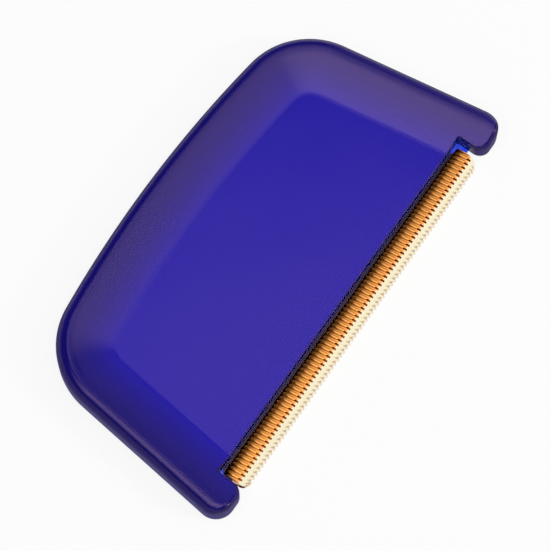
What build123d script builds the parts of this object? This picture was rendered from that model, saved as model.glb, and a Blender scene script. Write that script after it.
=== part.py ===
from build123d import *

import os
from math import cos, floor, radians, tan

# A sweater comb in two pieces: a shallow see-through plastic handle, shaped like a tray that is open at the
# front, and a ribbed brass comb bar that is pushed over the handle's tongue, between its two ears.
# Sizes are in millimetres. X runs along the comb, +Y to the back of the handle, +Z up. The origin is the
# centre of the flat underside.

os.makedirs("parts", exist_ok=True)

# The handle, seen from above
overall_width = 95.0  # across the ears, where they are widest
overall_depth = 49.15  # from the ear tips to the middle of the back edge
side_lean = 7.8  # degrees by which each side spreads towards the front
back_bow = 3.6  # how far the middle of the back edge stands out from its sharp corners
back_corner_radius = 15.1
ear_width = 8.0  # at the tips, before they are rounded
slot_depth = 5.95  # from the ear tips back to the slot's wall
ear_outer_radius = 3.7
ear_inner_radius = 2.2

# The handle, through its thickness
rim_height = 6.0  # underside to the crest of the rim
floor_height = 3.0  # underside to the flat floor of the tray
rim_rounding = 2.4  # between the outer wall and the top of the rim
crest_width = 0.6  # flat top of the rim, between the rounding and the slope
slope_width = 7.7  # crest to the edge of the floor, seen from above
floor_rounding = 5.0  # between the slope and the floor
least_corner_radius = 2.0  # of the tray's hollow, however thick its wall
base_rounding = 0.6  # round the underside

# The tongue, which is part of the handle's moulding
tongue_reach = 2.7  # from the slot's wall towards the front
tongue_bottom = 0.7
tongue_thickness = 0.9

# The comb bar
comb_left_gap = 0.67  # between the bar's end and the left ear
comb_right_gap = 1.53
comb_back_gap = 0.05  # between the bar and the slot's wall
comb_tip_gap = 0.1  # between the tongue's front edge and the bottom of the bar's slot
nose_gap = 0.2  # the sharp edge of the bar stands this far behind the ear tips
nose_run = 1.4  # how far the nose slopes forward from its upper to its lower edge
leaf_thickness = 0.6  # metal over the tongue, at the slot's wall
dome_rise = 0.75  # from there up to the highest point of the ribbed top
nose_rise = 0.55  # from there up to the upper edge of the nose
back_bevel = 0.35  # lower back edge
end_nose_radius = 1.6  # corners of the bar's ends, seen from above
end_back_radius = 1.1

# Its ribs and teeth
rib_pitch = 0.95
rib_groove_width = 0.6
rib_groove_depth = 0.3
notch_width = 0.3  # one at the end of each groove, in the nose's upper edge
notch_length = 0.55
notch_depth = 0.65
tooth_height = 0.9  # of the zigzag along the nose's lower edge
tooth_gap_width = 0.85
tooth_run = 2.4  # how far each gap between teeth runs back until it leaves the underside
tooth_shift = 0.3  # the lower teeth stand to the side of the upper grooves
lower_groove_width = 0.6
lower_groove_depth = 0.3

# How far a cutter reaches past what it cuts, and how near two heights are to count as one
over = 1.0
tiny = 0.001

# Lines and places that follow from these sizes
y_front = -overall_depth / 2
y_back = overall_depth / 2
y_slot = y_front + slot_depth
lean_slope = tan(radians(side_lean))
lean_stretch = 1 / cos(radians(side_lean))
half_front = overall_width / 2 + ear_outer_radius * (lean_slope + lean_stretch - 1)
slot_width = 2 * (half_front - ear_width)
rim_inset = rim_rounding + crest_width
floor_inset = rim_inset + slope_width
comb_length = slot_width - comb_left_gap - comb_right_gap
comb_shift = (comb_left_gap - comb_right_gap) / 2
dome_back_height = tongue_bottom + tongue_thickness + leaf_thickness
dome_height = dome_back_height + dome_rise
upper_edge_height = dome_back_height + nose_rise
y_nose = y_front + nose_gap
y_comb_back = y_slot - comb_back_gap
y_upper_edge = y_nose + nose_run
comb_depth = y_comb_back - y_nose
rib_count = floor(comb_length / rib_pitch)


def side_x(y):
    """Half the width between the two sides, before the corners are rounded."""
    return half_front - (y - y_front) * lean_slope


def tray_outline(front_y):
    """Bowed back edge, two leaning sides and a straight front edge."""
    corner_y = y_back - back_bow
    corner_x = side_x(corner_y)
    front_x = side_x(front_y)
    ThreePointArc((-corner_x, corner_y), (0, y_back), (corner_x, corner_y))
    Polyline((corner_x, corner_y), (front_x, front_y), (-front_x, front_y), (-corner_x, corner_y))


def lies_level(edge, height):
    """True where both ends of an edge lie at one height."""
    return abs((edge @ 0).Z - height) < tiny and abs((edge @ 1).Z - height) < tiny


def spans_the_slope(face):
    """True for the tray's sloping faces, which run from its floor up to the crest of the rim."""
    box = face.bounding_box()
    return abs(box.min.Z - floor_height) < tiny and abs(box.max.Z - rim_height) < tiny


def groove(width, depth):
    """Profile of a V-shaped cutter: this wide at the surface, and this deep below it, or above if negative."""
    Polygon((0, -depth), (width, depth), (-width, depth), align=None)


def tray_level(height, inset):
    """The tray's hollow at one height: the outline set in from the wall, and open past the ear tips."""
    with BuildSketch(Plane.XY.offset(height)) as level:
        with BuildLine():
            tray_outline(y_front - inset - floor_inset)
        make_face()
        offset(amount=-inset, kind=Kind.INTERSECTION)
        corners = level.vertices().group_by(Axis.Y)[-1]
        fillet(corners, max(back_corner_radius - inset, least_corner_radius))
    return level.sketch


# The handle
with BuildPart() as handle:
    with BuildSketch() as plan:
        with BuildLine():
            tray_outline(y_front)
        make_face()
        fillet(plan.vertices().group_by(Axis.Y)[-1], back_corner_radius)
        with Locations((0, y_front)):
            Rectangle(slot_width, 2 * slot_depth, mode=Mode.SUBTRACT)
        ear_corners = plan.vertices().group_by(Axis.Y)[0].sort_by(Axis.X)
        fillet([ear_corners[0], ear_corners[-1]], ear_outer_radius)
        ear_corners = plan.vertices().group_by(Axis.Y)[0].sort_by(Axis.X)
        fillet(ear_corners[1:-1], ear_inner_radius)
    extrude(amount=rim_height)
    top_edges = handle.faces().sort_by(Axis.Z)[-1].edges()
    fillet(top_edges.filter_by(lambda edge: abs(edge.center().Y - y_slot) > base_rounding), rim_rounding)
    base_edges = handle.faces().sort_by(Axis.Z)[0].edges()
    fillet(base_edges.filter_by(lambda edge: abs(edge.center().Y - y_slot) > base_rounding), base_rounding)

    slope = slope_width / (rim_height - floor_height)
    tray_floor = tray_level(floor_height, floor_inset)
    tray_mouth = tray_level(rim_height + over, rim_inset - over * slope)
    loft([tray_floor, tray_mouth], ruled=True, mode=Mode.SUBTRACT)

    slopes = handle.faces().filter_by(spans_the_slope)
    fillet(slopes.edges().filter_by(lambda edge: lies_level(edge, floor_height)), floor_rounding)

    with BuildSketch(Plane.XY.offset(tongue_bottom)):
        with Locations((0, y_slot)):
            Rectangle(slot_width + 2 * over, 2 * tongue_reach)
    extrude(amount=tongue_thickness)

handle.part.label = "handle"
export_step(handle.part, "parts/handle.step")

# The comb bar
dome_middle = (y_comb_back + y_upper_edge) / 2
with BuildPart() as comb:
    with BuildSketch(Plane.YZ.offset(comb_shift)) as section:
        with BuildLine():
            Polyline(
                (y_comb_back, dome_back_height),
                (y_comb_back, back_bevel),
                (y_comb_back - back_bevel, 0),
                (y_nose, 0),
                (y_upper_edge, upper_edge_height),
            )
            dome = ThreePointArc(
                (y_upper_edge, upper_edge_height),
                (dome_middle, dome_height),
                (y_comb_back, dome_back_height),
            )
        make_face()
    extrude(amount=comb_length / 2, both=True)
    with BuildSketch() as ends:
        with Locations((comb_shift, (y_nose + y_comb_back) / 2)):
            Rectangle(comb_length, comb_depth)
        fillet(ends.vertices().group_by(Axis.Y)[0], end_nose_radius)
        fillet(ends.vertices().group_by(Axis.Y)[-1], end_back_radius)
    extrude(amount=rim_height, mode=Mode.INTERSECT)

    # Grooves across the domed top, cut by rings about the dome's own axis
    dome_axis = Axis((0, dome.arc_center.X, dome.arc_center.Y), (1, 0, 0))
    with BuildSketch(Plane.XZ.offset(-dome.arc_center.X)):
        with Locations((comb_shift, dome.arc_center.Y + dome.radius)):
            with GridLocations(rib_pitch, 0, rib_count, 1):
                groove(rib_groove_width, rib_groove_depth)
    revolve(axis=dome_axis, mode=Mode.SUBTRACT)

    # A notch at the end of each groove
    with BuildSketch(Plane.XY.offset(upper_edge_height - notch_depth)):
        with Locations((comb_shift, y_upper_edge)):
            with GridLocations(rib_pitch, 0, rib_count, 1):
                Rectangle(notch_width, notch_length)
    extrude(amount=rim_height, mode=Mode.SUBTRACT)

    # Grooves along the underside
    with BuildSketch(Plane.XZ.offset(-y_slot)):
        with Locations((comb_shift + tooth_shift, 0)):
            with GridLocations(rib_pitch, 0, rib_count, 1):
                groove(lower_groove_width, -lower_groove_depth)
    extrude(amount=slot_depth, mode=Mode.SUBTRACT)

    # Wide gaps between the teeth, which rise towards the nose
    tooth_plane = Plane(origin=(0, y_nose, 0), x_dir=(1, 0, 0), z_dir=(0, -tooth_run, tooth_height))
    with BuildSketch(tooth_plane):
        with Locations((comb_shift + tooth_shift, 0)):
            with GridLocations(rib_pitch, 0, rib_count, 1):
                groove(tooth_gap_width, -tooth_height)
    extrude(amount=tooth_run, both=True, mode=Mode.SUBTRACT)

    # The slot that the tongue fills
    with BuildSketch(Plane.XY.offset(tongue_bottom)):
        with Locations((comb_shift, y_slot)):
            Rectangle(comb_length + 2 * over, 2 * (tongue_reach + comb_tip_gap))
    extrude(amount=tongue_thickness, mode=Mode.SUBTRACT)

comb.part.label = "comb"
export_step(comb.part, "parts/comb.step")
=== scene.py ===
"""A sweater comb: a see-through blue tray handle with a ribbed brass comb bar across its open front."""

import math

import bmesh
import bpy
from bpy.props import FloatProperty, FloatVectorProperty, IntProperty, PointerProperty
from mathutils import Matrix, Vector


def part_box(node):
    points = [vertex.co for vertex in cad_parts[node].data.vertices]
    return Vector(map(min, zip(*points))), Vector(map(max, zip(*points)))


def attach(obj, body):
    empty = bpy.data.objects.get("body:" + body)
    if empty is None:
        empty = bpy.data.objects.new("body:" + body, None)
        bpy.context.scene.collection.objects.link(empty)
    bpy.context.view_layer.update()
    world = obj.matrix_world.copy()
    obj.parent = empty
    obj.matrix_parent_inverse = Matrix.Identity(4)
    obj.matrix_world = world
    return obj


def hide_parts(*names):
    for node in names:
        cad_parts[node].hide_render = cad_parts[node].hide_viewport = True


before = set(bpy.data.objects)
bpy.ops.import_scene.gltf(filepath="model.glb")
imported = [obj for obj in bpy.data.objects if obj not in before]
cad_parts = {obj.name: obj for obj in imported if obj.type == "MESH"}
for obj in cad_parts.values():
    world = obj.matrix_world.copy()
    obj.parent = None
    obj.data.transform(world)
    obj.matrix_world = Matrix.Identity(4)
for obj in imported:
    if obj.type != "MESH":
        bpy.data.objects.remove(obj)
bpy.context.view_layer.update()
HANDLE_LOW, HANDLE_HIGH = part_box("handle")
COMB_LOW, COMB_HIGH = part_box("comb")
MM = 0.001
HAIR = 0.001 * MM  # points nearer than this are one

# Soft glows of the studio: degrees from straight above, turn from the picture's right, inner and outer
# reach in degrees, and strength
SOFT_GLOWS = (
    (25, 244, 1, 39, 2.28),
    (29, 3, 1, 30, 1.29),
    (12, 83, 1, 13, 0.75),
    (29, 89, 10, 20, 0.39),
    (59, 52, 16, 27, 0.41),
)

# The one lamp: its distance and size in metres, and its tilt and turn in degrees, as for the glows
SOFTBOX = {"away": 1.2, "tilt": 63, "turn": -13, "size": 0.2, "radiance": 40.0}

# The pale walls low down all round are full below the first of these heights of a unit look, and gone above
# the second
WALL_FADE = (0.12, 0.42)

# The floor: half its width in metres, its grey, and how much of it the camera sees as plain white
FLOOR_HALF = 2.0
FLOOR_GREY = 0.84
FLOOR_WHITE = 0.85

# Mesh steps along each run and corner of the handle's outline, from the middle of the slot round to the back
OUTLINE_STEPS = {
    "slot": 70,
    "slot_corner": 4,
    "tongue_end": 4,
    "ear_inside": 2,
    "ear_inner": 12,
    "ear_front": 4,
    "ear_outer": 20,
    "side": 40,
    "back_corner": 44,
    "back": 40,
}

# Rows of points over the comb bar's domed top, in millimetres back from the nose's upper edge
DOME_ROWS = (0.06, 0.22, 0.38, 0.55, 0.7, 0.9, 1.15, 1.4, 1.65, 1.9, 2.15, 2.4, 2.65, 2.9, 3.15, 3.35)

# The shares of the rim over which the rougher, hand-rubbed finish comes in
RUBBED = (0.82, 0.97)

# Edges that turn by more than these degrees stay sharp
HANDLE_CREASE = 50
COMB_CREASE = 30

bl_info = {
    "name": "Sweater Comb",
    "version": (1, 0, 0),
    "blender": (4, 5, 0),
    "location": "View3D > Sidebar > Sweater Comb",
    "description": "Makes the handle and the comb bar of a sweater comb, and the stage it lies on",
    "category": "Object",
}


def length(name, description, default):
    """A size in metres, as a property."""
    return FloatProperty(name=name, description=description, default=default, min=0.0, subtype="DISTANCE")


def position(name, description, default):
    """A place along an axis in metres, which may be below nought, as a property."""
    return FloatProperty(name=name, description=description, default=default, subtype="DISTANCE")


def angle(name, description, degrees):
    """A turn, as a property."""
    return FloatProperty(name=name, description=description, default=math.radians(degrees), subtype="ANGLE")


def colour(name, description, default):
    """A colour, as a property."""
    return FloatVectorProperty(name=name, description=description, default=default, min=0.0, max=1.0, subtype="COLOR")


class HandleSizes(bpy.types.PropertyGroup):
    """Sizes of the moulded handle."""

    side_lean: angle("Side lean", "How far each side spreads towards the front", 7.8)
    back_bow: length("Back bow", "How far the middle of the back edge stands out", 3.6 * MM)
    back_corner: length("Back corner", "Radius of the back corners, seen from above", 15.1 * MM)
    ear_width: length("Ear width", "Width of an ear at its tip, before it is rounded", 8.0 * MM)
    ear_outer: length("Ear outer corner", "Outer radius of an ear's tip", 3.7 * MM)
    ear_inner: length("Ear inner corner", "Inner radius of an ear's tip", 2.2 * MM)
    slot_depth: length("Slot depth", "From the ear tips back to the slot's wall", 5.95 * MM)
    slot_corner: length("Slot corner", "Radius where an ear meets the slot's wall", 0.4 * MM)
    floor_height: length("Floor height", "From the underside to the floor of the tray", 3.0 * MM)
    crest_inset: length("Crest inset", "From the outer wall to where the slope begins", 3.0 * MM)
    slope_width: length("Slope width", "From the crest to the edge of the floor", 7.7 * MM)
    crest_blend: length("Crest blend", "Half the width over which the crest is rounded", 1.3 * MM)
    floor_blend: length("Floor blend", "Half the width over which the floor's edge is rounded", 0.2 * MM)
    rim_rounding: length("Rim rounding", "Radius between the outer wall and the rim", 2.4 * MM)
    tip_rounding: length("Tip rounding", "Radius over the ears' tips", 1.1 * MM)
    slot_rounding: length("Slot rounding", "Radius along the slot's upper edge", 0.15 * MM)
    base_rounding: length("Base rounding", "Radius round the underside", 0.6 * MM)
    tongue_reach: length("Tongue reach", "From the slot's wall to the tongue's front edge", 2.7 * MM)
    tongue_bottom: length("Tongue bottom", "Height of the tongue's lower face", 0.7 * MM)
    tongue_thickness: length("Tongue thickness", "Between the tongue's two faces", 0.9 * MM)
    edge_band: length("Edge band", "Width of the level band of mesh inside the upper edge", 0.35 * MM)
    cell: length("Cell", "Spacing of the mesh over the tray", 0.4 * MM)


class CombSizes(bpy.types.PropertyGroup):
    """Sizes of the ribbed comb bar. Its ends, nose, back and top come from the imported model."""

    rib_pitch: length("Rib pitch", "From one rib to the next", 0.9535 * MM)
    rib_place: length("Rib place", "Where a groove meets the upper edge, from the handle's middle", 0.45 * MM)
    rib_slant: FloatProperty(name="Rib slant", description="How far a groove shifts for each unit back", default=-0.13)
    leaf_gap: length("Leaf gap", "How far the ribbed top stops short of the slot's wall", 0.75 * MM)
    back_height: length("Back height", "Height of the domed top at its back edge", 2.3 * MM)
    crown_run: length("Crown run", "From the nose's upper edge back to the highest line of the top", 1.075 * MM)
    roll: FloatProperty(name="Roll", description="How late and how sharply the top rolls down at its back", default=3.7)
    edge_height: length("Upper edge height", "Height of the nose's upper edge", 2.75 * MM)
    nose_run: length("Nose run", "How far the nose slopes forward from its upper to its lower edge", 1.4 * MM)
    tongue_bottom: length("Slot bottom", "Height of the lower side of the slot for the tongue", 0.7 * MM)
    tongue_thickness: length("Slot thickness", "Height of the slot for the tongue", 0.9 * MM)
    slot_reach: length("Slot reach", "How far the slot for the tongue reaches into the bar", 2.75 * MM)
    back_bevel: length("Back bevel", "Bevel along the lower back edge", 0.35 * MM)
    end_nose: length("End nose corner", "Radius of the bar's front corners, seen from above", 1.6 * MM)
    end_back: length("End back corner", "Radius of the bar's back corners, seen from above", 1.1 * MM)
    front_depth: length("Front depth", "Depth of the grooves between the ribs behind the nose", 0.036 * MM)
    groove_depth: length("Groove depth", "Depth of the same grooves at the slot, where they are deepest", 0.27 * MM)
    line_depth: length("Line depth", "Depth of the fine lines between and on the ribs, behind the nose", 0.022 * MM)
    notch_half: length("Notch half width", "Half the width of the small notches along the upper edge", 0.17 * MM)
    notch_back: length("Notch back", "How far a notch runs back from the upper edge", 0.6 * MM)
    notch_depth: length("Notch depth", "How deep a notch is cut below the upper edge", 0.45 * MM)
    tooth_height: length("Tooth height", "Height of the zigzag along the nose's lower edge", 0.5 * MM)
    tooth_gap: length("Tooth gap", "Width of the gap between two teeth, at their points", 0.8 * MM)
    tooth_run: length("Tooth run", "How far a gap between teeth runs back under the bar", 2.4 * MM)
    tooth_place: length("Tooth place", "Where a gap meets the lower edge, from the handle's middle", 0.12 * MM)
    tooth_slant: FloatProperty(name="Tooth slant", description="How far a gap shifts for each unit up", default=-0.47)
    tooth_relief: length("Tooth relief", "How deep the lines between the teeth run up the nose", 0.2 * MM)
    teeth_top: length("Teeth top", "Height at which the lines between the teeth end", 1.75 * MM)
    steps: IntProperty(name="Steps", description="Mesh steps for each rib", default=16, min=4)


class PlasticLook(bpy.types.PropertyGroup):
    """Finish of the see-through blue plastic."""

    tint: colour("Tint", "Colour of the surface", (0.85, 0.85, 1.0))
    depth_colour: colour("Depth colour", "Colour that the plastic lets through", (0.02, 0.33, 0.931))
    density: FloatProperty(name="Density", description="How fast it takes light, for each metre", default=4200.0)
    # Painted shade: this colour darkens the outer rim, and paints a shadow along the slot's upper edge
    painted_rim_shade: colour("Rim tint", "Colour of the thick outer rim, which loses light sideways", (0.20, 0.15, 0.34))
    sheen: colour("Sheen", "Colour of the reflections", (1.0, 0.67, 1.0))
    roughness: FloatProperty(name="Roughness", description="Of the moulded surface", default=0.04)
    rim_roughness: FloatProperty(name="Rim roughness", description="Of the outer rim, where hands rub it", default=0.65)


class BrassLook(bpy.types.PropertyGroup):
    """Finish of the pressed brass."""

    bright: colour("Bright", "Colour of the ribs", (0.86, 0.34, 0.08))
    # Painted shade: the colour given to the grooves, the notches and the bar's underside, where shade falls
    painted_shade_colour: colour("Dark", "Colour down in the grooves", (0.16, 0.045, 0.008))
    # Painted highlight: the nose's pale colour stands in for the light it reflects
    nose_highlight: colour("Nose", "Colour of the smooth nose", (0.98, 0.88, 0.62))
    # Painted shade along the lines between the teeth
    gap: colour("Gap", "Colour between the teeth", (0.42, 0.30, 0.15))
    roughness: FloatProperty(name="Roughness", description="Of the ribs", default=0.24)


class StageSizes(bpy.types.PropertyGroup):
    """The floor, the light and the camera."""

    turn: angle("Turn", "From the comb's own X axis to the picture's horizontal", 55.44)
    tilt: angle("Tilt", "Of the camera from straight above", 19.46)
    distance: length("Distance", "Camera to the point it looks at", 488.6 * MM)
    look_x: position("Look at X", "Where the camera looks, along the comb", -1.66 * MM)
    look_y: position("Look at Y", "Where the camera looks, towards the back", -5.043 * MM)
    lens: FloatProperty(name="Lens", description="Focal length on a 36 mm sensor, in millimetres", default=169.13)
    floor_gap: length("Floor gap", "Between the floor and the underside", 0.06 * MM)
    sky: FloatProperty(name="Sky", description="Strength of the plain light all round", default=0.16)
    horizon: FloatProperty(name="Horizon", description="Strength of the pale walls low down all round", default=0.5)


class Pen:
    """Draws an outline in a bmesh, a straight run or an arc at a time."""

    def __init__(self, mesh, start):
        self.mesh = mesh
        self.tip = mesh.verts.new(start)

    def line(self, end, steps=1):
        """A straight run to a point, in even steps."""
        step = (Vector(end) - self.tip.co) / steps
        for _ in range(steps):
            made = bmesh.ops.extrude_vert_indiv(self.mesh, verts=[self.tip])["verts"]
            bmesh.ops.translate(self.mesh, verts=made, vec=step)
            self.tip = made[0]

    def arc(self, centre, turn, steps):
        """A level arc about a point, anticlockwise from above where turn is positive."""
        made = bmesh.ops.spin(
            self.mesh, geom=[self.tip], cent=centre, axis=(0, 0, 1), angle=turn, steps=steps, use_duplicate=False
        )
        self.tip = [part for part in made["geom_last"] if isinstance(part, bmesh.types.BMVert)][0]


class HandlePlan:
    """Places on the handle's plan, worked out from its sizes. Points on the right half only."""

    def __init__(self, sizes):
        self.sizes = sizes
        self.front, self.back = HANDLE_LOW.y, HANDLE_HIGH.y
        lean = sizes.side_lean
        self.side_out = Vector((math.cos(lean), math.sin(lean), 0))
        self.side_back = Vector((-math.sin(lean), math.cos(lean), 0))
        stretch = math.tan(lean) + 1 / math.cos(lean) - 1
        self.half_front = HANDLE_HIGH.x + sizes.ear_outer * stretch
        self.slot_x = self.half_front - sizes.ear_width
        self.slot_y = self.front + sizes.slot_depth
        self.side_at = self.side_out.dot(Vector((self.half_front, self.front, 0)))
        corner_y = self.back - sizes.back_bow
        corner_x = self.half_front - (corner_y - self.front) * math.tan(lean)
        self.bow_radius = (corner_x**2 + sizes.back_bow**2) / (2 * sizes.back_bow)
        self.bow_centre = Vector((0, self.back - self.bow_radius, 0))
        self.corner_centre = self.fit_back_corner()
        inset = self.side_at - sizes.ear_outer
        tip_y = self.front + sizes.ear_outer
        self.tip_centre = Vector(((inset - self.side_out.y * tip_y) / self.side_out.x, tip_y, 0))

    def fit_back_corner(self):
        """Centre of the circle that touches both the side and the bowed back edge."""
        radius = self.sizes.back_corner
        start = self.side_out * (self.side_at - radius) - self.bow_centre
        along = self.side_back.dot(start)
        excess = start.length_squared - (self.bow_radius - radius) ** 2
        return self.bow_centre + start + self.side_back * (math.sqrt(along**2 - excess) - along)

    def inset(self, x, y):
        """How far a point lies in from the sides and the back edge."""
        point = Vector((abs(x), y, 0))
        from_corner = point - self.corner_centre
        back_out = self.corner_centre - self.bow_centre
        past_side = from_corner.dot(self.side_back) > 0
        past_back = back_out.cross(from_corner).z < 0
        if past_side and past_back:
            return self.sizes.back_corner - from_corner.length
        from_side = self.side_at - self.side_out.dot(point)
        from_back = self.bow_radius - (point - self.bow_centre).length
        return min(from_side, from_back)

    def top(self, x, y):
        """Height of the tray's upper face: the rim's crest, the slope and the floor, with soft changes between."""
        sizes = self.sizes
        inset = self.inset(x, y)
        fall = (HANDLE_HIGH.z - sizes.floor_height) / sizes.slope_width
        after_crest = soft_step(inset - sizes.crest_inset, sizes.crest_blend)
        after_slope = soft_step(inset - sizes.crest_inset - sizes.slope_width, sizes.floor_blend)
        return HANDLE_HIGH.z - fall * (after_crest - after_slope)


def soft_step(value, blend):
    """Nought before zero and the value after it, with a parabola between."""
    if value <= -blend:
        return 0.0
    if value >= blend:
        return value
    return (value + blend) ** 2 / (4 * blend)


def draw_outline(mesh, plan):
    """The handle's outline on the plan, as one closed loop of edges."""
    sizes, steps = plan.sizes, OUTLINE_STEPS
    slot = Vector((plan.slot_x, plan.slot_y, 0))
    pen = Pen(mesh, (0, plan.slot_y, 0))
    pen.line((slot.x - sizes.slot_corner, slot.y, 0), steps["slot"])
    pen.arc((slot.x - sizes.slot_corner, slot.y - sizes.slot_corner, 0), -math.pi / 2, steps["slot_corner"])
    pen.line((slot.x, slot.y - sizes.tongue_reach, 0), steps["tongue_end"])
    pen.line((slot.x, plan.front + sizes.ear_inner, 0), steps["ear_inside"])
    pen.arc((slot.x + sizes.ear_inner, plan.front + sizes.ear_inner, 0), math.pi / 2, steps["ear_inner"])
    pen.line((plan.tip_centre.x, plan.front, 0), steps["ear_front"])
    pen.arc(plan.tip_centre, math.pi / 2 + sizes.side_lean, steps["ear_outer"])
    pen.line(plan.corner_centre + plan.side_out * sizes.back_corner, steps["side"])
    back_out = plan.corner_centre - plan.bow_centre
    pen.arc(plan.corner_centre, plan.side_out.angle(back_out), steps["back_corner"])
    pen.arc(plan.bow_centre, back_out.angle(Vector((0, 1, 0))), steps["back"])
    half = mesh.verts[:] + mesh.edges[:]
    bmesh.ops.mirror(mesh, geom=half, axis="X", merge_dist=HAIR)
    return mesh.edges[:]


def finished_object(name, mesh, material, node):
    """Makes a finished piece of a bmesh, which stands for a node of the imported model."""
    bmesh.ops.recalc_face_normals(mesh, faces=mesh.faces[:])
    data = bpy.data.meshes.new(name)
    mesh.to_mesh(data)
    mesh.free()
    data.shade_smooth()
    data.materials.append(material)
    piece = bpy.data.objects.new(name, data)
    bpy.context.scene.collection.objects.link(piece)
    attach(piece, "root")
    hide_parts(node)
    return piece


def ease(value, low, high):
    """Rises smoothly from 0 at the low value to 1 at the high one."""
    part = min(max((value - low) / (high - low), 0.0), 1.0)
    return part * part * (3 - 2 * part)


class HandleMesh:
    """The handle's walls, raised ring by ring from its outline, and its hollowed top."""

    BASE_STEPS = 5
    EDGE_STEPS = 12
    RIM_FADE = (0.3 * MM, 2.8 * MM)  # over which the painted shade of the outer rim fades, in from the walls
    EAR_FADE = (0.3 * MM, 1.3 * MM)  # the same, in from the fronts of the ears
    SLOT_LINE = 0.92  # strength of the painted shadow along the slot's upper edge
    SLOT_LINE_FLAT = 0.08 * MM  # how far in the line keeps that strength
    CLEAR = 0.1 * MM  # a wall this far from the tongue can have the line
    NEAR = 0.01 * MM  # faces and points of the tongue are told apart by this

    def __init__(self, plan):
        self.plan = plan
        self.mesh = bmesh.new()
        self.base = self.mesh.verts.layers.float_vector.new("base")
        self.inward = self.mesh.verts.layers.float_vector.new("inward")
        # Share of painted shade on the outer rim and of painted shadow along the slot's upper edge; its highest shares
        # also make the surface rougher
        self.rim = self.mesh.verts.layers.float.new("rim")
        self.edges = draw_outline(self.mesh, plan)
        self.mark_outline()

    def rounding(self, point):
        """Radius over the upper edge at a point of the outline."""
        sizes, plan = self.plan.sizes, self.plan
        x, y = abs(point.x), point.y
        past_slot_corner = 1.0 * MM
        if y > plan.tip_centre.y and (x > plan.slot_x + past_slot_corner or y > plan.slot_y + past_slot_corner):
            return sizes.rim_rounding
        if x > plan.tip_centre.x:
            turned = ease(math.atan2(x - plan.tip_centre.x, plan.tip_centre.y - y), 0, math.pi / 2)
            return sizes.tip_rounding + turned * (sizes.rim_rounding - sizes.tip_rounding)
        turned = ease(plan.front + sizes.ear_inner - y, 0, sizes.ear_inner)
        return sizes.slot_rounding + turned * (sizes.tip_rounding - sizes.slot_rounding)

    def mark_outline(self):
        """Walks round the outline and keeps each point, its radius and the way into the plastic."""
        start = min(self.mesh.verts, key=lambda vert: abs(vert.co.x) + abs(vert.co.y - self.plan.slot_y))
        before, after = (edge.other_vert(start) for edge in start.link_edges)
        if before.co.x > after.co.x:
            before, after = after, before
        last, here = before, start
        while True:
            onward = [edge.other_vert(here) for edge in here.link_edges if edge.other_vert(here) != last][0]
            along = (onward.co - last.co).normalized()
            here[self.inward] = Vector((-along.y, along.x, 0))
            here[self.base] = Vector((here.co.x, here.co.y, self.rounding(here.co)))
            last, here = here, onward
            if here == start:
                break

    def set_ring(self, verts, inset, height):
        """Places a ring of points; inset and height are worked out from each point's own radius."""
        for vert in verts:
            base = vert[self.base]
            radius = base.z
            spot = Vector((base.x, base.y, 0)) + vert[self.inward] * inset(radius)
            vert.co = (spot.x, spot.y, height(radius, spot))

    def raise_ring(self, inset, height):
        """Adds the next ring above the last."""
        made = bmesh.ops.extrude_edge_only(self.mesh, edges=self.edges)["geom"]
        self.edges = [part for part in made if isinstance(part, bmesh.types.BMEdge) and part.is_boundary]
        self.set_ring({vert for edge in self.edges for vert in edge.verts}, inset, height)

    def build(self):
        """Walls, rounding, underside, tongue and top."""
        sizes, plan = self.plan.sizes, self.plan
        base = sizes.base_rounding
        tongue_top = sizes.tongue_bottom + sizes.tongue_thickness
        self.set_ring(self.mesh.verts[:], lambda r: base, lambda r, at: 0.0)
        bmesh.ops.contextual_create(self.mesh, geom=self.edges)
        for part in range(1, self.BASE_STEPS + 1):
            turn = part / self.BASE_STEPS * math.pi / 2
            self.raise_ring(lambda r: base * (1 - math.sin(turn)), lambda r, at: base * (1 - math.cos(turn)))
        self.raise_ring(lambda r: 0.0, lambda r, at: sizes.tongue_bottom)
        self.raise_ring(lambda r: 0.0, lambda r, at: tongue_top)
        self.raise_ring(lambda r: 0.0, lambda r, at: plan.top(at.x, at.y) - r)
        for part in range(1, self.EDGE_STEPS + 1):
            turn = part / self.EDGE_STEPS * math.pi / 2
            self.raise_ring(
                lambda r: r * (1 - math.cos(turn)), lambda r, at: plan.top(at.x, at.y) - r * (1 - math.sin(turn))
            )
        self.raise_ring(lambda r: r + sizes.edge_band, lambda r, at: plan.top(at.x, at.y))
        self.add_tongue()
        self.add_top()
        for vert in self.mesh.verts:
            vert[self.rim] = self.painted_shade_share(vert.co)
        return self.mesh

    def painted_shade_share(self, spot):
        """How much painted shade a point gets on the darker outer rim, or as the painted shadow along the slot's upper
        edge.
        """
        sizes, plan = self.plan.sizes, self.plan
        x, y = abs(spot.x), spot.y
        rim = 1 - ease(plan.inset(x, y), *self.RIM_FADE)
        if x > plan.slot_x:
            rim = max(rim, 1 - ease(self.from_ear_front(x, y), *self.EAR_FADE))
        above_tongue = spot.z > sizes.tongue_bottom + sizes.tongue_thickness + self.CLEAR
        if above_tongue or y < plan.slot_y - sizes.tongue_reach - self.CLEAR:
            from_slot = math.hypot(max(x - plan.slot_x, 0.0), max(y - plan.slot_y, 0.0))
            line_end = sizes.edge_band + sizes.slot_rounding
            rim = max(rim, self.SLOT_LINE * (1 - ease(from_slot, self.SLOT_LINE_FLAT, line_end)))
        return rim * ease(spot.z, 0.0, sizes.base_rounding)

    def from_ear_front(self, x, y):
        """How far a point of the right ear lies in from its front, round both of its corners too."""
        plan, inner = self.plan, self.plan.sizes.ear_inner
        if x < plan.slot_x + inner and y < plan.front + inner:
            return inner - math.hypot(plan.slot_x + inner - x, plan.front + inner - y)
        if x > plan.tip_centre.x and y < plan.tip_centre.y:
            return plan.sizes.ear_outer - math.hypot(x - plan.tip_centre.x, y - plan.tip_centre.y)
        return y - plan.front

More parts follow.
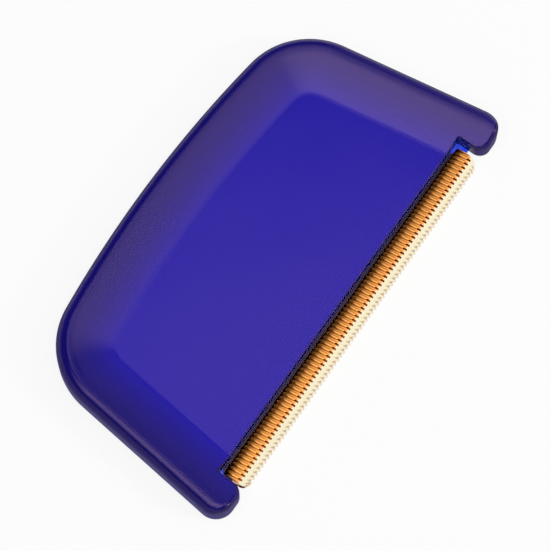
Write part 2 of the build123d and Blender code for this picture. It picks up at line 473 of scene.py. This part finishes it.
    def add_tongue(self):
        """Draws the slot's wall forward into a thin tongue that runs from ear to ear."""
        sizes, plan, near = self.plan.sizes, self.plan, self.NEAR
        low, high = sizes.tongue_bottom, sizes.tongue_bottom + sizes.tongue_thickness
        reach_y = plan.slot_y - sizes.tongue_reach

        def in_band(face):
            """True for the slot's walls between the tongue's two faces."""
            middle = face.calc_center_median()
            in_slot = reach_y < middle.y < plan.slot_y + near and abs(middle.x) < plan.slot_x + near
            return low < middle.z < high and in_slot

        band = [face for face in self.mesh.faces if in_band(face)]
        rims = {vert for face in band for vert in face.verts}
        bmesh.ops.delete(self.mesh, geom=band, context="FACES_ONLY")
        loose = [edge for edge in self.mesh.edges if not edge.link_faces]
        bmesh.ops.delete(self.mesh, geom=loose, context="EDGES")
        ends = [vert for vert in rims if vert.is_valid and abs(vert.co.y - reach_y) < near]
        for level in (low, high):
            pair = [vert for vert in ends if abs(vert.co.z - level) < near]
            bmesh.ops.contextual_create(self.mesh, geom=pair)
        bmesh.ops.contextual_create(self.mesh, geom=ends)
        for level in (low, high):
            rim = [
                edge
                for edge in self.mesh.edges
                if edge.is_boundary and all(vert in rims and abs(vert.co.z - level) < near for vert in edge.verts)
            ]
            bmesh.ops.contextual_create(self.mesh, geom=rim)

    def add_top(self):
        """Closes the top, cuts it into small cells and lowers each point to the tray's own height."""
        faces = bmesh.ops.contextual_create(self.mesh, geom=self.edges)["faces"]
        faces = self.cut_across(faces, Vector((1, 0, 0)), HANDLE_LOW.x, HANDLE_HIGH.x)
        faces = self.cut_across(faces, Vector((0, 1, 0)), HANDLE_LOW.y, HANDLE_HIGH.y)
        for vert in {vert for face in faces for vert in face.verts}:
            vert.co.z = self.plan.top(vert.co.x, vert.co.y)

    def cut_across(self, faces, axis, low, high):
        """Cuts faces into strips one cell wide, across an axis between two places on it, and gives the strips."""
        count = int((high - low) / self.plan.sizes.cell)
        ahead, done = faces, []
        for part in range(1, count):
            spot = axis * (low + (high - low) * part / count)
            around = {element for face in ahead for element in (*face.edges, *face.verts)}
            cut = bmesh.ops.bisect_plane(
                self.mesh, geom=ahead + list(around), dist=HAIR, plane_co=spot, plane_no=axis
            )
            ahead = []
            for face in cut["geom"]:
                if isinstance(face, bmesh.types.BMFace):
                    (ahead if (face.calc_center_bounds() - spot).dot(axis) > 0 else done).append(face)
        return ahead + done


def make_handle_piece(sizes, look):
    """The handle, as one moulding with its tongue."""
    mesh = HandleMesh(HandlePlan(sizes)).build()
    piece = finished_object("tray_handle", mesh, blue_plastic(look), "handle")
    piece.data.set_sharp_from_angle(angle=math.radians(HANDLE_CREASE))
    return piece


class CombMesh:
    """The comb bar: one section drawn along its length, then pressed into ribs, notches and teeth."""

    UNDER_ROWS, TEETH_ROWS, NOSE_ROWS = 4, 8, 5
    DEEPENING = (1.4 * MM, 3.0 * MM)  # the grooves deepen over this stretch, back from the nose's upper edge
    SETTLING = (-0.3 * MM, 0.5 * MM)  # and start over this one
    NOSE_FADE = 0.4 * MM  # over which the nose's painted highlight fades into the ribs
    NOTCH_FRONT = 0.1 * MM  # how far a notch runs forward of the nose's upper edge
    POINT_FADE = 0.3 * MM  # height over which the painted shade lines between the teeth grow dark
    END_REACH = 2.0 * MM  # how much of each end moves in where the corners are rounded
    # How dark the painted shade on the brass is: in a groove in front and at the slot, on a fine line, all over at the
    # slot, in a notch and under the bar
    FRONT_SHADE, SLOT_SHADE, LINE_SHADE, BACK_SHADE = 0.12, 0.7, 0.14, 0.1
    NOTCH_SHADE, UNDER_SHADE = 0.8, 0.5
    NOSE_SHARE = 0.6  # how much of the nose's painted highlight the ribs have where they meet it
    # Where the painted shade in a groove begins and is full, from a rib's top at 0 to the groove's bottom at 1
    FRONT_WEDGE, SLOT_WEDGE = (0.5, 1.0), (0.0, 0.55)
    TOOTH_LINE = 1 / 3  # half the width of a painted shade line between the teeth, as a share of the pitch
    TOOTH_LINE_FADE = 2.2  # how fast these lines fade out at their tops
    POINT_SHARE = 0.5  # how dark they are at the teeth's points

    def __init__(self, sizes):
        self.sizes = sizes
        self.length = COMB_HIGH.x - COMB_LOW.x
        self.nose_y, self.back_y = COMB_LOW.y, COMB_HIGH.y
        self.edge_y = self.nose_y + sizes.nose_run
        self.leaf_y = self.back_y - sizes.leaf_gap
        self.mesh = bmesh.new()
        # Share of painted shade in the grooves, the notches and under the bar
        self.painted_shade = self.mesh.verts.layers.float.new("painted_shade")
        # Share of the nose's painted highlight
        self.nose_highlight = self.mesh.verts.layers.float.new("nose_highlight")
        # Share of painted shade along the lines between the teeth
        self.tooth_line_shade = self.mesh.verts.layers.float.new("tooth_line_shade")

    def draw_section(self):
        """The bar's section at its left end, as a closed loop across the X axis."""
        sizes, x = self.sizes, COMB_LOW.x
        slot_low = sizes.tongue_bottom
        slot_high = slot_low + sizes.tongue_thickness
        pen = Pen(self.mesh, (x, self.leaf_y, sizes.back_height))
        first = pen.tip
        pen.line((x, self.leaf_y, slot_high))
        pen.line((x, self.back_y - sizes.slot_reach, slot_high))
        pen.line((x, self.back_y - sizes.slot_reach, slot_low))
        pen.line((x, self.back_y, slot_low))
        pen.line((x, self.back_y, sizes.back_bevel))
        pen.line((x, self.back_y - sizes.back_bevel, 0))
        pen.line((x, self.nose_y + sizes.tooth_run, 0), self.UNDER_ROWS)
        pen.line((x, self.nose_y, 0), self.UNDER_ROWS)
        slope = sizes.nose_run / sizes.edge_height
        pen.line((x, self.nose_y + sizes.teeth_top * slope, sizes.teeth_top), self.TEETH_ROWS)
        pen.line((x, self.edge_y, sizes.edge_height), self.NOSE_ROWS)
        for row in DOME_ROWS:
            y = self.edge_y + row * MM
            pen.line((x, y, self.dome_height(y)))
        bmesh.ops.contextual_create(self.mesh, geom=[pen.tip, first])

    def dome_height(self, y):
        """Height of the ribbed top: nearly level behind the nose, then rolling down towards the slot's wall."""
        sizes = self.sizes
        crown_y = self.edge_y + sizes.crown_run
        if y < crown_y:
            return COMB_HIGH.z - (COMB_HIGH.z - sizes.edge_height) * ((crown_y - y) / sizes.crown_run) ** 2
        part = (y - crown_y) / (self.leaf_y - crown_y)
        return COMB_HIGH.z - (COMB_HIGH.z - sizes.back_height) * part**sizes.roll

    def phase(self, x, place):
        """How far a point along the bar is from the nearest of the lines that repeat with the ribs."""
        pitch = self.sizes.rib_pitch
        part = (x - place) / pitch
        return abs(part - round(part)) * pitch

    def press(self, vert):
        """Moves one point of the plain bar to its place on the ribbed one."""
        sizes = self.sizes
        x, y, z = vert.co
        from_groove = self.phase(x, sizes.rib_place + sizes.rib_slant * (y - self.edge_y))
        on_dome = z > sizes.back_height - HAIR and y > self.edge_y - HAIR
        on_nose = y < self.edge_y + HAIR and z > HAIR
        if on_dome:
            z -= self.press_rib(vert, y, from_groove)
        if on_nose:
            vert[self.nose_highlight] = 1.0
        if z < sizes.teeth_top + HAIR and y < self.edge_y:
            y, z = self.press_tooth(vert, x, y, z)
        in_notch = -self.NOTCH_FRONT < y - self.edge_y < sizes.notch_back and from_groove < sizes.notch_half
        notch_floor = sizes.edge_height - sizes.notch_depth
        if in_notch and z > notch_floor:
            z = notch_floor
            # Painted shade down in the notch
            vert[self.painted_shade] = self.NOTCH_SHADE
            vert[self.nose_highlight] = 0.0
        vert.co = (x + self.end_pull(x, vert.co.y), y, z)

    def press_rib(self, vert, y, from_groove):
        """Gives a point of the domed top its shares of painted shade and of the nose's painted highlight, and its depth
        below it. The grooves deepen towards the slot.
        """
        sizes = self.sizes
        run = y - self.edge_y
        valley = 1 - 2 * from_groove / sizes.rib_pitch
        slot_side = ease(run, *self.DEEPENING)
        # The painted shade in a groove is a thin line in front, and a broad wedge at the slot
        pairs = zip(self.FRONT_WEDGE, self.SLOT_WEDGE)
        wedge = ease(valley, *(front + (slot - front) * slot_side for front, slot in pairs))
        fine = (1 - slot_side) * (0.5 + 0.5 * math.cos(4 * math.pi * from_groove / sizes.rib_pitch))
        shade = self.FRONT_SHADE + (self.SLOT_SHADE - self.FRONT_SHADE) * slot_side
        vert[self.painted_shade] = wedge * shade + self.LINE_SHADE * fine + self.BACK_SHADE * slot_side
        vert[self.nose_highlight] = self.NOSE_SHARE * (1 - ease(run, 0.0, self.NOSE_FADE))
        groove_depth = sizes.front_depth + (sizes.groove_depth - sizes.front_depth) * slot_side
        return (groove_depth * valley**2 + sizes.line_depth * fine) * ease(run, *self.SETTLING)

    def press_tooth(self, vert, x, y, z):
        """Shapes a point of the zigzag teeth, on the nose or under it, and gives it painted shade: lines between the
        teeth, or shade under the bar.
        """
        sizes = self.sizes
        gap = sizes.tooth_height * max(1 - self.phase(x, sizes.tooth_place) / (sizes.tooth_gap / 2), 0.0)
        if z > HAIR or y < self.nose_y + HAIR:
            from_line = self.phase(x, sizes.tooth_place + sizes.tooth_slant * z)
            line = max(1 - from_line / (sizes.rib_pitch * self.TOOTH_LINE), 0.0)
            fade = 1 - z / sizes.teeth_top
            point = self.POINT_SHARE + (1 - self.POINT_SHARE) * ease(z, 0.0, self.POINT_FADE)
            vert[self.tooth_line_shade] = line * min(1.0, self.TOOTH_LINE_FADE * fade) * point
            z = gap + z * (sizes.teeth_top - gap) / sizes.teeth_top
            return self.nose_y + z * sizes.nose_run / sizes.edge_height + sizes.tooth_relief * line * fade, z
        # Painted shade under the bar
        vert[self.painted_shade] = self.UNDER_SHADE
        return y, max(gap * (1 - (y - self.nose_y) / sizes.tooth_run), 0.0)

    def end_pull(self, x, y):
        """How far a point near an end moves in, so that the bar's corners are round from above."""
        sizes = self.sizes
        pull = 0.0
        for corner_y, radius, way in ((self.nose_y, sizes.end_nose, 1), (self.back_y, sizes.end_back, -1)):
            depth = radius - (y - corner_y) * way
            if depth > 0:
                pull = radius - math.sqrt(max(radius**2 - depth**2, 0.0))
        if x - COMB_LOW.x < self.END_REACH:
            return pull * (1 - (x - COMB_LOW.x) / self.END_REACH)
        if COMB_HIGH.x - x < self.END_REACH:
            return -pull * (1 - (COMB_HIGH.x - x) / self.END_REACH)
        return 0.0

    def build(self):
        """Section, bar, pressing and ends."""
        self.draw_section()
        made = bmesh.ops.extrude_edge_only(self.mesh, edges=self.mesh.edges[:])["geom"]
        far = [part for part in made if isinstance(part, bmesh.types.BMVert)]
        bmesh.ops.translate(self.mesh, verts=far, vec=(self.length, 0, 0))
        long_edges = [edge for edge in self.mesh.edges if edge.calc_length() > self.length / 2]
        cuts = round(self.length / self.sizes.rib_pitch * self.sizes.steps) - 1
        bmesh.ops.subdivide_edges(self.mesh, edges=long_edges, cuts=cuts)
        for end in (COMB_LOW.x, COMB_HIGH.x):
            rim = [edge for edge in self.mesh.edges if edge.is_boundary and self.lies_at(edge, end)]
            bmesh.ops.contextual_create(self.mesh, geom=rim)
        for vert in self.mesh.verts:
            self.press(vert)
        return self.mesh

    @staticmethod
    def lies_at(edge, x):
        """True for an edge that runs across the bar at a place along it."""
        return all(abs(vert.co.x - x) < 10 * HAIR for vert in edge.verts)


def make_comb_piece(sizes, look):
    """The brass comb bar."""
    mesh = CombMesh(sizes).build()
    piece = finished_object("brass_comb", mesh, brass(look), "comb")
    piece.data.set_sharp_from_angle(angle=math.radians(COMB_CREASE))
    return piece


class Nodes:
    """Adds nodes to a node tree and links them."""

    def __init__(self, tree):
        self.tree = tree
        self.tree.nodes.clear()

    def add(self, kind, settings=None, **inputs):
        """A node of a kind, with its settings, and its inputs given as values or as other nodes' outputs."""
        made = self.tree.nodes.new(kind)
        for name, value in (settings or {}).items():
            setattr(made, name, value)
        for name, value in inputs.items():
            socket = made.inputs[int(name[1:])] if name[1:].isdigit() else made.inputs[name.replace("_", " ")]
            if isinstance(value, bpy.types.NodeSocket):
                self.tree.links.new(value, socket)
            else:
                socket.default_value = value
        return made


def four(values):
    """A colour with its alpha."""
    return (*values, 1.0)


def new_material(name):
    """An empty node material and its node helper."""
    material = bpy.data.materials.new(name)
    material.use_nodes = True
    return material, Nodes(material.node_tree)


def handling_wear():
    """The fine unevenness and small scratches that both materials show, as one shared group."""
    name = "handling_wear"
    if name in bpy.data.node_groups:
        return bpy.data.node_groups[name]
    tree = bpy.data.node_groups.new(name, "ShaderNodeTree")
    tree.interface.new_socket(name="Place", in_out="INPUT", socket_type="NodeSocketVector")
    for wanted in ("Grain Scale", "Scratch Scale", "Smoothest", "Roughest"):
        tree.interface.new_socket(name=wanted, in_out="INPUT", socket_type="NodeSocketFloat")
    for given in ("Roughness", "Height", "Grain"):
        tree.interface.new_socket(name=given, in_out="OUTPUT", socket_type="NodeSocketFloat")
    nodes = Nodes(tree)
    wanted = nodes.add("NodeGroupInput").outputs
    grain = nodes.add("ShaderNodeTexNoise", Vector=wanted["Place"], Scale=wanted["Grain Scale"], Detail=3.0)
    along = nodes.add("ShaderNodeMapping", Vector=wanted["Place"], Rotation=(0.0, 0.0, 0.5), Scale=(1.0, 16.0, 1.0))
    marks = nodes.add("ShaderNodeTexNoise", Vector=along.outputs[0], Scale=wanted["Scratch Scale"], Detail=1.0)
    scratch = nodes.add("ShaderNodeMapRange", Value=marks.outputs["Fac"], From_Min=0.68, From_Max=0.76)
    uneven = nodes.add(
        "ShaderNodeMath", {"operation": "MULTIPLY_ADD"}, _0=grain.outputs["Fac"], _1=0.5, _2=scratch.outputs["Result"]
    )
    rough = nodes.add(
        "ShaderNodeMapRange", Value=uneven.outputs[0], To_Min=wanted["Smoothest"], To_Max=wanted["Roughest"]
    )
    height = nodes.add(
        "ShaderNodeMath", {"operation": "SUBTRACT"}, _0=grain.outputs["Fac"], _1=scratch.outputs["Result"]
    )
    nodes.add(
        "NodeGroupOutput", Roughness=rough.outputs["Result"], Height=height.outputs[0], Grain=grain.outputs["Fac"]
    )
    return tree


def blue_plastic(look):
    """Polished see-through plastic that is deep blue where it is thick, with painted shade on its outer rim and a
    painted shadow along the slot's upper edge.
    """
    material, nodes = new_material("blue_plastic")
    place = nodes.add("ShaderNodeTexCoord").outputs["Object"]
    wear = nodes.add(
        "ShaderNodeGroup",
        {"node_tree": handling_wear()},
        Place=place,
        Grain_Scale=220.0,
        Scratch_Scale=60.0,
        Smoothest=look.roughness * 0.6,
        Roughest=look.roughness * 2.0,
    ).outputs
    sway = nodes.add("ShaderNodeTexNoise", Vector=place, Scale=45.0, Detail=1.0)
    swayed = nodes.add("ShaderNodeBump", Height=sway.outputs["Fac"], Strength=0.25, Distance=0.0004)
    worn = nodes.add(
        "ShaderNodeBump", Height=wear["Height"], Strength=0.1, Distance=0.000005, Normal=swayed.outputs["Normal"]
    )
    tint = nodes.add(
        "ShaderNodeMix",
        {"data_type": "RGBA"},
        _0=wear["Grain"],
        _6=four(look.tint),
        _7=four([0.96 * part for part in look.tint]),
    )
    # The rim share mixes in painted shade on the outer rim and a painted shadow along the slot's upper edge, and its
    # highest shares roughen the surface
    rim = nodes.add("ShaderNodeAttribute", {"attribute_name": "rim"}).outputs["Fac"]
    tint = nodes.add("ShaderNodeMix", {"data_type": "RGBA"}, _0=rim, _6=tint.outputs[2], _7=four(look.painted_rim_shade))
    rubbed = nodes.add("ShaderNodeMapRange", Value=rim, From_Min=RUBBED[0], From_Max=RUBBED[1])
    rough = nodes.add("ShaderNodeMix", _0=rubbed.outputs["Result"], _2=wear["Roughness"], _3=look.rim_roughness)
    plastic = nodes.add(
        "ShaderNodeBsdfPrincipled",
        Base_Color=tint.outputs[2],
        Roughness=rough.outputs[0],
        IOR=1.49,
        Transmission_Weight=1.0,
        Specular_Tint=four(look.sheen),
        Normal=worn.outputs["Normal"],
    )
    depth = nodes.add("ShaderNodeVolumeAbsorption", Color=four(look.depth_colour), Density=look.density)
    nodes.add("ShaderNodeOutputMaterial", Surface=plastic.outputs["BSDF"], Volume=depth.outputs["Volume"])
    return material


def brass(look):
    """Pressed brass, with painted shade down in the grooves, in the notches, under the bar and between the teeth, and a
    painted highlight on the nose.
    """
    material, nodes = new_material("brass")
    place = nodes.add("ShaderNodeTexCoord").outputs["Object"]
    wear = nodes.add(
        "ShaderNodeGroup",
        {"node_tree": handling_wear()},
        Place=place,
        Grain_Scale=1300.0,
        Scratch_Scale=500.0,
        Smoothest=look.roughness * 0.85,
        Roughest=look.roughness * 1.3,
    ).outputs
    body = nodes.add(
        "ShaderNodeMix",
        {"data_type": "RGBA"},
        _0=wear["Grain"],
        _6=four([0.82 * part for part in look.bright]),
        _7=four(look.bright),
    )
    # Painted shade in the grooves, notches, underside and between the teeth, and the nose's painted highlight
    for name, shade in (("painted_shade", look.painted_shade_colour), ("nose_highlight", look.nose_highlight), ("tooth_line_shade", look.gap)):
        share = nodes.add("ShaderNodeAttribute", {"attribute_name": name}).outputs["Fac"]
        body = nodes.add("ShaderNodeMix", {"data_type": "RGBA"}, _0=share, _6=body.outputs[2], _7=four(shade))
    grain = nodes.add("ShaderNodeBump", Height=wear["Height"], Strength=0.15, Distance=0.00005)
    metal = nodes.add(
        "ShaderNodeBsdfPrincipled",
        Base_Color=body.outputs[2],
        Metallic=1.0,
        Roughness=wear["Roughness"],
        Normal=grain.outputs["Normal"],
    )
    nodes.add("ShaderNodeOutputMaterial", Surface=metal.outputs["BSDF"])
    return material


def white_floor():
    """Matt white, which the camera sees a little brighter than its light alone would make it."""
    material, nodes = new_material("white_floor")
    path = nodes.add("ShaderNodeLightPath").outputs
    matt = nodes.add("ShaderNodeBsdfDiffuse", Color=four([FLOOR_GREY] * 3))
    seen = nodes.add("ShaderNodeMath", {"operation": "MAXIMUM"}, _0=path["Is Camera Ray"], _1=path["Is Glossy Ray"])
    seen = nodes.add("ShaderNodeMath", {"operation": "MAXIMUM"}, _0=seen.outputs[0], _1=path["Is Transmission Ray"])
    share = nodes.add("ShaderNodeMath", {"operation": "MULTIPLY"}, _0=seen.outputs[0], _1=FLOOR_WHITE)
    white = nodes.add("ShaderNodeEmission", Color=(1.0, 1.0, 1.0, 1.0), Strength=1.0)
    both = nodes.add("ShaderNodeMixShader", _0=share.outputs[0], _1=matt.outputs[0], _2=white.outputs[0])
    nodes.add("ShaderNodeOutputMaterial", Surface=both.outputs[0])
    return material


def picture_axes(stage):
    """The picture's right and up on the floor, and the point that the camera looks at."""
    right = Vector((math.cos(stage.turn), -math.sin(stage.turn), 0))
    up = Vector((math.sin(stage.turn), math.cos(stage.turn), 0))
    return right, up, Vector((stage.look_x, stage.look_y, 0))


def direction(right, up, tilt, turn):
    """The way to a light, from degrees of tilt from straight above and of turn from the picture's right."""
    tilt, turn = math.radians(tilt), math.radians(turn)
    return Vector((0, 0, 1)) * math.cos(tilt) + (right * math.cos(turn) + up * math.sin(turn)) * math.sin(tilt)


def add_camera(stage):
    """The camera at the photograph's viewing angle."""
    right, up, look = picture_axes(stage)
    back = (Vector((0, 0, 1)) * math.cos(stage.tilt) - up * math.sin(stage.tilt)).normalized()
    lens = bpy.data.cameras.new("camera")
    lens.sensor_width = 36.0
    lens.lens = stage.lens
    lens.clip_start = 0.01
    lens.clip_end = 100.0
    camera = bpy.data.objects.new("camera", lens)
    turned = Matrix((right, back.cross(right), back)).transposed().to_4x4()
    camera.matrix_world = Matrix.Translation(look + back * stage.distance) @ turned
    bpy.context.scene.collection.objects.link(camera)
    bpy.context.scene.camera = camera


def add_softbox(name, stage, away, tilt, turn, size, radiance):
    """A square lamp that faces the comb: tilt is from straight above, and turn from the picture's right."""
    right, up, look = picture_axes(stage)
    way = direction(right, up, tilt, turn)
    light = bpy.data.lights.new(name, "AREA")
    light.shape = "SQUARE"
    light.size = size
    light.energy = radiance * math.pi * size * size
    lamp = bpy.data.objects.new(name, light)
    lamp.matrix_world = Matrix.Translation(look + way * away) @ way.to_track_quat("Z", "Y").to_matrix().to_4x4()
    bpy.context.scene.collection.objects.link(lamp)


def studio_world(stage):
    """A plain room, with soft wide glows where the studio's large lamps stand."""
    world = bpy.data.worlds.new("studio")
    world.use_nodes = True
    nodes = Nodes(world.node_tree)
    way = nodes.add("ShaderNodeTexCoord").outputs["Generated"]
    right, up, _ = picture_axes(stage)
    light = stage.sky
    for tilt, turn, inner, outer, strength in SOFT_GLOWS:
        middle = direction(right, up, tilt, turn)
        near = nodes.add("ShaderNodeVectorMath", {"operation": "DOT_PRODUCT"}, _0=way, _1=middle)
        glow = nodes.add(
            "ShaderNodeMapRange",
            {"interpolation_type": "SMOOTHERSTEP"},
            Value=near.outputs["Value"],
            From_Min=math.cos(math.radians(outer)),
            From_Max=math.cos(math.radians(inner)),
            To_Max=strength,
        )
        light = nodes.add("ShaderNodeMath", {"operation": "ADD"}, _0=light, _1=glow.outputs["Result"]).outputs[0]
    height = nodes.add("ShaderNodeSeparateXYZ", Vector=way).outputs["Z"]
    full, gone = WALL_FADE
    low = nodes.add("ShaderNodeMapRange", Value=height, From_Min=gone, From_Max=full, To_Max=stage.horizon)
    light = nodes.add("ShaderNodeMath", {"operation": "ADD"}, _0=light, _1=low.outputs["Result"]).outputs[0]
    sky = nodes.add("ShaderNodeBackground", Color=(1.0, 1.0, 1.0, 1.0), Strength=light)
    nodes.add("ShaderNodeOutputWorld", Surface=sky.outputs[0])
    return world


class SWEATERCOMB_OT_handle(bpy.types.Operator):
    """Makes the see-through tray handle with its ears and tongue"""

    bl_idname = "sweater_comb.handle"
    bl_label = "Handle"

    def execute(self, context):
        make_handle_piece(context.scene.comb_handle, context.scene.comb_plastic)
        return {"FINISHED"}


class SWEATERCOMB_OT_comb(bpy.types.Operator):
    """Makes the ribbed brass comb bar"""

    bl_idname = "sweater_comb.comb"
    bl_label = "Comb bar"

    def execute(self, context):
        make_comb_piece(context.scene.comb_bar, context.scene.comb_brass)
        return {"FINISHED"}


class SWEATERCOMB_OT_stage(bpy.types.Operator):
    """Makes the floor, the light and the camera"""

    bl_idname = "sweater_comb.stage"
    bl_label = "Stage"

    def execute(self, context):
        stage = context.scene.comb_stage
        add_camera(stage)
        mesh = bmesh.new()
        bmesh.ops.create_grid(mesh, x_segments=1, y_segments=1, size=FLOOR_HALF)
        bmesh.ops.translate(mesh, verts=mesh.verts[:], vec=(0, 0, -stage.floor_gap))
        data = bpy.data.meshes.new("floor")
        mesh.to_mesh(data)
        mesh.free()
        data.materials.append(white_floor())
        floor = bpy.data.objects.new("floor", data)
        context.scene.collection.objects.link(floor)
        context.scene.world = studio_world(stage)
        add_softbox("softbox_right", stage, **SOFTBOX)
        context.scene.view_settings.view_transform = "Standard"
        return {"FINISHED"}


class SWEATERCOMB_PT_panel(bpy.types.Panel):
    """Lists the sizes and looks, and makes the pieces"""

    bl_label = "Sweater Comb"
    bl_space_type = "VIEW_3D"
    bl_region_type = "UI"
    bl_category = "Sweater Comb"

    def draw(self, context):
        column = self.layout.column()
        for operator, groups in PANEL_ROWS:
            column.operator(operator)
            for group in groups:
                settings = getattr(context.scene, group)
                for name in settings.bl_rna.properties.keys():
                    if name not in ("rna_type", "name"):
                        column.prop(settings, name)


PANEL_ROWS = (
    ("sweater_comb.handle", ("comb_handle", "comb_plastic")),
    ("sweater_comb.comb", ("comb_bar", "comb_brass")),
    ("sweater_comb.stage", ("comb_stage",)),
)
GROUPS = {
    "comb_handle": HandleSizes,
    "comb_plastic": PlasticLook,
    "comb_bar": CombSizes,
    "comb_brass": BrassLook,
    "comb_stage": StageSizes,
}
CLASSES = (*GROUPS.values(), SWEATERCOMB_OT_handle, SWEATERCOMB_OT_comb, SWEATERCOMB_OT_stage, SWEATERCOMB_PT_panel)


def register():
    """Registers the classes and their settings."""
    for made in CLASSES:
        bpy.utils.register_class(made)
    for name, group in GROUPS.items():
        setattr(bpy.types.Scene, name, PointerProperty(type=group))


def unregister():
    """Takes the settings and the classes away again."""
    for name in GROUPS:
        delattr(bpy.types.Scene, name)
    for made in reversed(CLASSES):
        bpy.utils.unregister_class(made)


def main():
    """Makes the whole scene."""
    register()
    bpy.ops.sweater_comb.stage()
    bpy.ops.sweater_comb.handle()
    bpy.ops.sweater_comb.comb()


if __name__ == "__main__":
    main()
